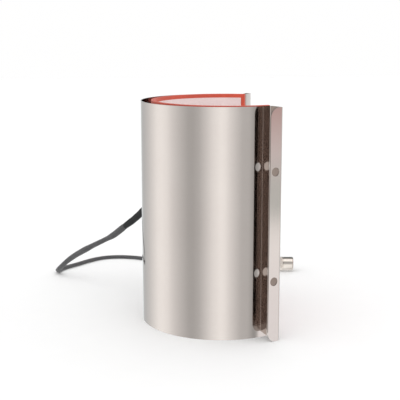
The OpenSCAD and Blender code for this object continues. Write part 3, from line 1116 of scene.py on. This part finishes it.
    def build(self, name: str, path: Sequence[Vector], halves: Sequence[Point2],
              material: bpy.types.Material) -> bpy.types.Object:
        """Wind the braid round a path and turn it into a plain mesh.

        Args:
            name: Name of the piece.
            path: The path.
            halves: Half width and half height of the braid at each point of the path.
            material: Material of the strands.

        Returns:
            The piece.
        """
        line = bpy.data.meshes.new(f"{name}_line")
        line.from_pydata([tuple(p) for p in path], [(i, i + 1) for i in range(len(path) - 1)], [])
        for index, word in enumerate(("wide", "tall")):
            layer = line.attributes.new(word, "FLOAT", "POINT")
            for i, pair in enumerate(halves):
                layer.data[i].value = pair[index]
        guide = bpy.data.objects.new(f"{name}_line", line)
        bpy.context.scene.collection.objects.link(guide)
        wound = guide.modifiers.new("braid", "NODES")
        wound.node_group = self.tree(material)
        values = {"Strands": self.strands, "Turns per metre": self.turns, "Strand width": self.strand_w,
                  "Strand thickness": self.strand_t, "Wave": self.wave, "Step": self.step}
        for item in wound.node_group.interface.items_tree:
            if item.in_out == "INPUT" and item.name in values:
                wound[item.identifier] = values[item.name]
        seen = guide.evaluated_get(bpy.context.evaluated_depsgraph_get())
        data = bpy.data.meshes.new_from_object(seen)
        data.name = name
        bpy.data.objects.remove(guide)
        work = bmesh.new()
        work.from_mesh(data)
        bmesh.ops.recalc_face_normals(work, faces=work.faces)
        work.to_mesh(data)
        work.free()
        data.shade_smooth()
        piece = bpy.data.objects.new(name, data)
        bpy.context.scene.collection.objects.link(piece)
        return piece


# Share of the lead's length, then half the sleeve's width and height there: bunched behind the shrink sleeve,
# drawn tight, bunched again before the loop, and flattened where it lies on the floor
SLEEVE_FORM: tuple[tuple[float, float, float], ...] = (
    (0.0, 0.0018, 0.0018), (0.1, 0.0019, 0.0019), (0.13, 0.0025, 0.0025), (0.16, 0.0024, 0.0024),
    (0.185, 0.0018, 0.0018), (0.23, 0.0019, 0.0019), (0.265, 0.0024, 0.0023), (0.31, 0.0023, 0.0021),
    (0.35, 0.0021, 0.0018), (0.4, 0.0022, 0.0015), (0.46, 0.0021, 0.0012), (0.62, 0.0022, 0.0011),
    (0.8, 0.0021, 0.0011), (0.92, 0.0019, 0.0018), (1.0, 0.0019, 0.0019),
)


# Depth, and waves in radians over its length, of each ripple in the shrink sleeve
SHRINK_RIPPLES: tuple[Point2, ...] = ((0.00006, 34.0), (0.00004, 83.0))


def sleeve_halves(share: float) -> Point2:
    """Half the sleeve's width and height at a share of the lead's length.

    Args:
        share: The share, from 0 to 1.

    Returns:
        Half the width and half the height.
    """
    for (s0, w0, h0), (s1, w1, h1) in zip(SLEEVE_FORM, SLEEVE_FORM[1:]):
        if share <= s1:
            part = (share - s0) / (s1 - s0)
            ease = part * part * (3 - 2 * part)
            return (w0 + (w1 - w0) * ease, h0 + (h1 - h0) * ease)
    return SLEEVE_FORM[-1][1:]


@dataclass
class Lead:
    """The sleeved lead, its braid and the shrink sleeve on its first stretch."""

    path: list[Vector] = field(default_factory=list)
    sleeve: Optional[bpy.types.Object] = None
    braid: Optional[bpy.types.Object] = None
    shrink: Optional[bpy.types.Object] = None
    core_in: float = 0.00012
    floor_z: float = 0.0023
    lift_off_z: float = 0.006
    settle: float = 0.00095
    strand_rise: float = 0.0003
    shrink_gap: float = 0.0001
    shrink_taper: float = 0.00025
    shrink_draw: float = 0.0004
    draw_start: float = 0.88

    def route(self) -> list[Vector]:
        """The route's points in the frame, with both ends where the CAD has them.

        Returns:
            The points.
        """
        a = math.radians(SIZE.outlet_angle)
        start = Vector((SIZE.exit_r * math.cos(a), SIZE.exit_r * math.sin(a), SIZE.outlet_z))
        turn = math.radians(SIZE.plug_turn)
        end = PLUG_TIP - Vector((math.cos(turn), math.sin(turn), 0.0)) * SIZE.plug_len
        points = [start, *[Vector(p) for p in LEAD_ROUTE], end]
        return [p + Vector((SIZE.axis_x, 0.0, 0.0)) for p in points]

    def build(self) -> None:
        """Make the lead, its braid and its shrink sleeve."""
        points = self.route()
        self.path = smooth_path(points, 12)
        shares = self._shares(self.path)
        halves = [sleeve_halves(s) for s in shares]
        lying = [p - Vector((0, 0, self._drop(h) * self._on_floor(p)))
                 for p, (_, h) in zip(self.path, halves)]
        core = [(w - self.core_in, h - self.core_in) for w, h in halves]
        self.sleeve = self._tube("lead_sleeve", lying, core, 24)
        self.braid = Braid().build("lead_braid", lying, halves, PAINTS.get(STRAND))
        cover = smooth_path(points[:SHRINK_RINGS], 10)
        cover_halves = [self._shrink_half(s) for s in self._shares(cover)]
        self.shrink = self._tube("shrink_sleeve_tube", cover, cover_halves, 32)
        LOG.info("lead %.1f mm long", length_of(self.path) * 1000)

    def _drop(self, half: float) -> float:
        """How far a sleeve of this half height sinks below the middle of a round one when it lies down."""
        return min(max(LEAD_D / 2 - half - self.strand_rise, 0.0), self.settle)

    def _on_floor(self, point: Vector) -> float:
        """How far the lead has settled on the floor at a point, from 0 to 1."""
        part = min(max((self.lift_off_z - point.z) / (self.lift_off_z - self.floor_z), 0.0), 1.0)
        return part * part * (3 - 2 * part)

    @staticmethod
    def _shares(path: Sequence[Vector]) -> list[float]:
        """Share of the length that lies before each point of a path."""
        total, run = length_of(path), 0.0
        shares = [0.0]
        for a, b in zip(path, path[1:]):
            run += (b - a).length
            shares.append(run / total)
        return shares

    def _shrink_half(self, share: float) -> Point2:
        """Half width and height of the shrink sleeve, drawn in at its free end over the braid."""
        drawn = self.shrink_draw * max(share - self.draw_start, 0.0) / (1.0 - self.draw_start)
        ripple = sum(depth * math.sin(share * beat) for depth, beat in SHRINK_RIPPLES)
        half = SHRINK_D / 2 - self.shrink_gap - self.shrink_taper * share - drawn + ripple
        return (half, half)

    @staticmethod
    def _tube(name: str, path: Sequence[Vector], halves: Sequence[Point2], sides: int) -> bpy.types.Object:
        """A tube along a path, with its own half width and half height at each point."""
        rings, flat = [], []
        run = 0.0
        frames = frames_along(path)
        for i, (at, (wide, tall)) in enumerate(zip(frames, halves)):
            run += (at.point - frames[i - 1].point).length if i else 0.0
            level = at.heading.cross(Vector((0, 0, 1))).normalized()
            up = level.cross(at.heading)
            ring, row = [], []
            for k in range(sides):
                a = math.tau * k / sides
                ring.append(at.point + level * (wide * math.cos(a)) + up * (tall * math.sin(a)))
                row.append((a * LEAD_D / 2, run))
            rings.append(ring)
            flat.append(row)
        return loft(name, rings, flat, sharp=60.0)

    def dress(self, with_pieces: Sequence[bpy.types.Object]) -> None:
        """Args:
            with_pieces: The connector's pieces; not used.
        """
        PAINTS.coat(self.sleeve, SLEEVE)
        PAINTS.coat(self.braid, STRAND)
        PAINTS.coat(self.shrink, SHRINK)
        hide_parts("lead")
        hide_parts("shrink_sleeve")
        for piece in (self.sleeve, self.braid, self.shrink):
            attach(piece, BACK_BODY)
        tuple(self.path[0])
        round(length_of(self.path), 3)
        [tuple(p) for p in self.path]


# ---------- connector ----------


def plug_place() -> Matrix:
    """Puts an upright axis along the connector, with its start on the rear face.

    Returns:
        The placing matrix.
    """
    turn = math.radians(SIZE.plug_turn)
    rear = PLUG_TIP - Vector((math.cos(turn), math.sin(turn), 0.0)) * SIZE.plug_len
    return (Matrix.Translation(rear + Vector((SIZE.axis_x, 0.0, 0.0))) @ Matrix.Rotation(turn, 4, "Z")
            @ Matrix.Rotation(math.radians(90), 4, "Y"))


@dataclass
class Connector:
    """The metal four-pole connector: a turning ring, and the CAD's barrel, insert, pins and cable clamp."""

    ring: Optional[bpy.types.Object] = None
    flutes: int = 36
    flute_depth: float = 0.00025
    flute_start: float = 0.0227
    flute_end: float = 0.0246
    outside_r: float = 0.0058

    def _ring_shape(self, degrees: float, along: float, r: float) -> float:
        """Grip flutes in the rear half of the ring's outside."""
        if r < self.outside_r or not self.flute_start < along < self.flute_end:
            return r
        return r - self.flute_depth * max(math.cos(math.radians(degrees * self.flutes)), 0.0) ** 2

    def build(self) -> bpy.types.Object:
        """Make the coupling ring.

        Returns:
            The piece.
        """
        profile: list[Point2] = [
            (0.00435, 0.0223), (0.0057, 0.0223), (0.0059, 0.02245), (0.006, 0.02275), (0.006, 0.0229),
            (0.006, 0.0244), (0.006, 0.0247), (0.006, 0.0249), (0.00585, 0.02505), (0.00585, 0.0254),
            (0.006, 0.02555), (0.006, 0.0326), (0.00594, 0.0332), (0.00578, 0.03365), (0.00555, 0.0339),
            (0.0053, 0.034), (0.0052, 0.0338), (0.0052, 0.0243), (0.00435, 0.0243)]
        self.ring = lathe("coupling_ring_shell", profile, plug_place(), 216, self._ring_shape)
        return self.ring

    def dress(self) -> None:
        """Paint the connector; the ring rides on its own body."""
        PAINTS.coat(self.ring, NICKEL)
        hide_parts("plug_ring")
        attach(self.ring, RING_BODY)
        for node, finish in {"plug_barrel": NICKEL, "plug_saddle": NICKEL, "plug_insert": INSERT,
                             "plug_pins": GOLD, "plug_bush": RUBBER, "saddle_screws": ZINC}.items():
            PAINTS.coat(frame["nodes"][node], finish)

    def pieces(self) -> list[bpy.types.Object]:
        """Everything that goes with the lead.

        Returns:
            The ring and the connector's CAD pieces.
        """
        nodes = ("plug_barrel", "plug_saddle", "plug_insert", "plug_pins", "plug_bush", "saddle_screws")
        return [self.ring, *[frame["nodes"][n] for n in nodes]]


# ---------- studio ----------

# Azimuth and brightness of the surround's panels, as polished metal sees them
PANELS: tuple[Point2, ...] = (
    (-180, 1.11), (-169, 0.9), (-156, 0.71), (-144, 0.56), (-137, 0.545), (-128, 0.63), (-118, 0.84),
    (-108, 1.06), (-97, 1.21), (-91, 1.17), (-84, 0.99), (-75, 0.81), (-67, 0.66), (-56, 0.63), (-46, 0.4),
    (-36, 0.75), (-20, 0.75), (20, 0.65), (60, 0.9), (93, 0.75), (105, 0.49), (117, 0.53), (135, 0.74),
    (148, 0.95), (160, 1.16), (170, 1.19), (180, 1.11),
)
# Angle and brightness of the bands overhead: 0 is the horizon in front, 90 is straight up
SKY: tuple[Point2, ...] = (
    (-180, 0.6), (0, 0.8), (10, 0.8), (16, 0.5), (48, 0.5), (56, 1.35), (98, 1.35), (108, 0.18), (170, 0.18),
    (180, 0.6),
)
PANEL_TOP = 2.0
PANEL_TINT: Colour = (1.475, 1.55, 1.565)

# A card low on the right: elevation and colour of its bands, then its middle and half width in azimuth
CARD_BANDS: tuple[tuple[float, Colour], ...] = (
    (-20.0, (1.5, 1.55, 1.61)), (-14.0, (1.62, 1.68, 1.71)), (-12.6, (1.59, 1.65, 1.66)),
    (-11.6, (0.9, 0.99, 0.97)), (-9.6, (1.0, 1.07, 1.06)), (-8.0, (1.2, 1.14, 1.16)),
    (-5.0, (0.92, 0.68, 0.67)),
)
CARD_PLACE = (-28.0, 14.0)


def fill_ramp(ramp: bpy.types.ColorRamp, stops: Sequence[tuple[float, Colour]]) -> None:
    """Set a colour ramp's stops.

    Args:
        ramp: The ramp.
        stops: Place and colour of each stop, in order.
    """
    while len(ramp.elements) > 1:
        ramp.elements.remove(ramp.elements[-1])
    ramp.elements[0].position = stops[0][0]
    ramp.elements[0].color = (*stops[0][1], 1.0)
    for at, colour in stops[1:]:
        ramp.elements.new(at).color = (*colour, 1.0)



@dataclass
class Studio:
    """A pale floor, soft light and the camera."""

    camera_at: Vector = field(default_factory=lambda: Vector((-0.0802, -0.649, 0.2137)))
    camera_heading: float = 83.17
    camera_pitch: float = -10.93
    lens_mm: float = 82.286
    sensor_mm: float = 36.0
    light_spread: float = 70.0
    light_strength: float = 0.75
    light_tilt: Point2 = (18.0, -14.0)
    floor_half: float = 3.0
    horizon_blend: float = 0.03
    card_core: float = 0.7

    def build(self) -> None:
        """Make the camera, the light and the floor."""
        self._camera()
        self._world()
        self._overhead()
        self._floor()

    def _camera(self) -> None:
        """The camera, level from side to side."""
        data = bpy.data.cameras.new("camera")
        data.lens = self.lens_mm
        data.sensor_width = self.sensor_mm
        camera = bpy.data.objects.new("camera", data)
        bpy.context.scene.collection.objects.link(camera)
        camera.location = self.camera_at
        camera.rotation_euler = Euler((math.radians(90 + self.camera_pitch), 0.0,
                                       math.radians(self.camera_heading - 90)))
        bpy.context.scene.camera = camera

    def _world(self) -> None:
        """A white surround; polished metal sees it as upright panels, some lighter and some darker."""
        scene = bpy.context.scene
        scene.view_settings.view_transform = "Standard"
        scene.world = bpy.data.worlds.new("studio")
        scene.world.use_nodes = True
        tree = scene.world.node_tree
        place = tree.nodes.new("ShaderNodeSeparateXYZ")
        tree.links.new(tree.nodes.new("ShaderNodeTexCoord").outputs["Generated"], place.inputs[0])
        azimuth = tree.nodes.new("ShaderNodeMath")
        azimuth.operation = "ARCTAN2"
        tree.links.new(place.outputs["Y"], azimuth.inputs[0])
        tree.links.new(place.outputs["X"], azimuth.inputs[1])
        panels = self._over_sky(tree, place, self._panels(tree, azimuth.outputs[0], PANELS))
        card = self._card(tree, place.outputs["Z"])
        centre, half = (math.radians(v) for v in CARD_PLACE)
        off = tree.nodes.new("ShaderNodeMath")
        off.operation = "SUBTRACT"
        off.inputs[1].default_value = centre
        tree.links.new(azimuth.outputs[0], off.inputs[0])
        away = tree.nodes.new("ShaderNodeMath")
        away.operation = "ABSOLUTE"
        tree.links.new(off.outputs[0], away.inputs[0])
        edge = tree.nodes.new("ShaderNodeMapRange")
        edge.interpolation_type = "SMOOTHSTEP"
        for name, value in (("From Min", half * self.card_core), ("From Max", half), ("To Min", 1.0),
                            ("To Max", 0.0)):
            edge.inputs[name].default_value = value
        tree.links.new(away.outputs[0], edge.inputs["Value"])
        polished = self._mixed(tree, edge.outputs[0], panels, card)
        glossy = tree.nodes.new("ShaderNodeLightPath").outputs["Is Glossy Ray"]
        white = tree.nodes.new("ShaderNodeRGB").outputs[0]
        white.default_value = (1.0, 0.998, 0.997, 1.0)
        seen = self._mixed(tree, glossy, white, polished)
        tree.links.new(seen, tree.nodes["Background"].inputs["Color"])

    @staticmethod
    def _mixed(tree: bpy.types.NodeTree, share: bpy.types.NodeSocket, first: bpy.types.NodeSocket,
               second: bpy.types.NodeSocket) -> bpy.types.NodeSocket:
        """Mix two colours by a share from 0, the first, to 1, the second."""
        mix = tree.nodes.new("ShaderNodeMix")
        mix.data_type = "RGBA"
        colours = [socket for socket in mix.inputs if socket.type == "RGBA"]
        tree.links.new(share, mix.inputs["Factor"])
        tree.links.new(first, colours[0])
        tree.links.new(second, colours[1])
        return next(socket for socket in mix.outputs if socket.type == "RGBA")

    @staticmethod
    def _scaled(tree: bpy.types.NodeTree, colour: bpy.types.NodeSocket, by: Colour) -> bpy.types.NodeSocket:
        """A colour multiplied channel by channel."""
        scaled = tree.nodes.new("ShaderNodeVectorMath")
        scaled.operation = "MULTIPLY"
        scaled.inputs[1].default_value = by
        tree.links.new(colour, scaled.inputs[0])
        return scaled.outputs[0]

    def _over_sky(self, tree: bpy.types.NodeTree, place: bpy.types.Node,
                  panels: bpy.types.NodeSocket) -> bpy.types.NodeSocket:
        """The panels below the horizon, and the overhead bands above it."""
        front = tree.nodes.new("ShaderNodeMath")
        front.operation = "MULTIPLY"
        front.inputs[1].default_value = -1.0
        tree.links.new(place.outputs["Y"], front.inputs[0])
        rise = tree.nodes.new("ShaderNodeMath")
        rise.operation = "ARCTAN2"
        tree.links.new(place.outputs["Z"], rise.inputs[0])
        tree.links.new(front.outputs[0], rise.inputs[1])
        above = tree.nodes.new("ShaderNodeMapRange")
        above.inputs["From Min"].default_value = -self.horizon_blend
        above.inputs["From Max"].default_value = self.horizon_blend
        tree.links.new(place.outputs["Z"], above.inputs["Value"])
        return self._mixed(tree, above.outputs[0], panels, self._panels(tree, rise.outputs[0], SKY))

    def _panels(self, tree: bpy.types.NodeTree, azimuth: bpy.types.NodeSocket,
                stops: Sequence[Point2]) -> bpy.types.NodeSocket:
        """The panels' colour by the angle that they stand at."""
        share = tree.nodes.new("ShaderNodeMapRange")
        share.inputs["From Min"].default_value = -math.pi
        share.inputs["From Max"].default_value = math.pi
        tree.links.new(azimuth, share.inputs["Value"])
        ramp = tree.nodes.new("ShaderNodeValToRGB")
        tree.links.new(share.outputs[0], ramp.inputs[0])
        fill_ramp(ramp.color_ramp, [((turn + 180) / 360, (level / PANEL_TOP,) * 3) for turn, level in stops])
        return self._scaled(tree, ramp.outputs["Color"], tuple(PANEL_TOP * v for v in PANEL_TINT))

    def _card(self, tree: bpy.types.NodeTree, height: bpy.types.NodeSocket) -> bpy.types.NodeSocket:
        """The low card's colour by the sine of the elevation."""
        ramp = tree.nodes.new("ShaderNodeValToRGB")
        first, last = (math.sin(math.radians(CARD_BANDS[i][0])) for i in (0, -1))
        share = tree.nodes.new("ShaderNodeMapRange")
        share.inputs["From Min"].default_value = first
        share.inputs["From Max"].default_value = last
        tree.links.new(height, share.inputs["Value"])
        tree.links.new(share.outputs[0], ramp.inputs[0])
        fill_ramp(ramp.color_ramp, [((math.sin(math.radians(rise)) - first) / (last - first),
                                     tuple(v / PANEL_TOP for v in colour)) for rise, colour in CARD_BANDS])
        return self._scaled(tree, ramp.outputs["Color"], (PANEL_TOP,) * 3)

    def _overhead(self) -> None:
        """A very wide soft light from above, for the floor and the inside of the mat."""
        data = bpy.data.lights.new("overhead", "SUN")
        data.angle = math.radians(self.light_spread)
        data.energy = self.light_strength
        light = bpy.data.objects.new("overhead", data)
        bpy.context.scene.collection.objects.link(light)
        tilt_x, tilt_y = (math.radians(v) for v in self.light_tilt)
        light.rotation_euler = Euler((tilt_x, tilt_y, 0.0))
        light.visible_glossy = False

    def _floor(self) -> None:
        """The pale floor, which isn't part of the object."""
        half = self.floor_half
        floor = make_piece("floor", [(-half, -half, 0), (half, -half, 0), (half, half, 0), (-half, half, 0)],
                           [[0, 1, 2, 3]])
        PAINTS.coat(floor, PAPER)
        floor.visible_glossy = False


def report_pieces() -> None:
    """Log every finished piece with its number of faces."""
    for piece in sorted(bpy.data.objects, key=lambda o: o.name):
        if piece.type == "MESH":
            LOG.info("%s: %d faces", piece.name, len(piece.data.polygons))


def main() -> None:
    """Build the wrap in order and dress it."""
    logging.basicConfig(level=logging.INFO, format="%(name)s: %(message)s")
    Studio().build()
    lead, connector, outlet = Lead(), Connector(), Outlet()
    lead.build()
    connector.build()
    outlet.build()
    connector.dress()
    outlet.dress()
    lead.dress(connector.pieces())
    for side in Side:
        for part in (HalfShell(side), HalfMat(side)):
            part.build()
            part.dress()
            LOG.info("%s %s made", side.name.lower(), type(part).__name__)
    report_pieces()


if __name__ == "__main__":
    main()
